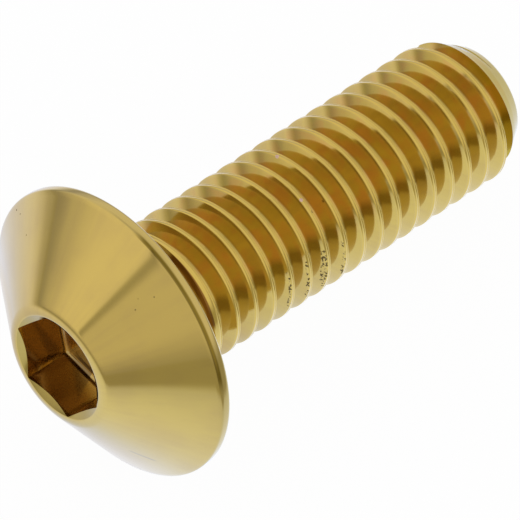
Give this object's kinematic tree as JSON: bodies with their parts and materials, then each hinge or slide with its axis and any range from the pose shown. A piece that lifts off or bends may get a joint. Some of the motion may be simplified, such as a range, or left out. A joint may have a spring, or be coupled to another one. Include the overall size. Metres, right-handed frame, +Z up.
{
  "type": "button head screw",
  "caption": "Socket head screw with a low conical button head, a hexagon socket and a fully threaded shank, lying on its side.",
  "frame": {"origin": "centre of the bearing face under the head, on the screw's own axis", "axes": "the screw lies as it comes to rest: +X runs towards the tip, level with the ground, and +Z is up. The screw's own axis leans 9.58 degrees down from +X, so that the rim and the last full crest of the thread touch the ground at Z = -7.765 mm"},
  "size_m": [0.03, 0.0158, 0.0157],
  "materials": {
    "gold_finish": "polished, gold-coloured coating on steel"
  },
  "bodies": {
    "root": {"screw": "gold_finish"}
  },
  "joints": []
}
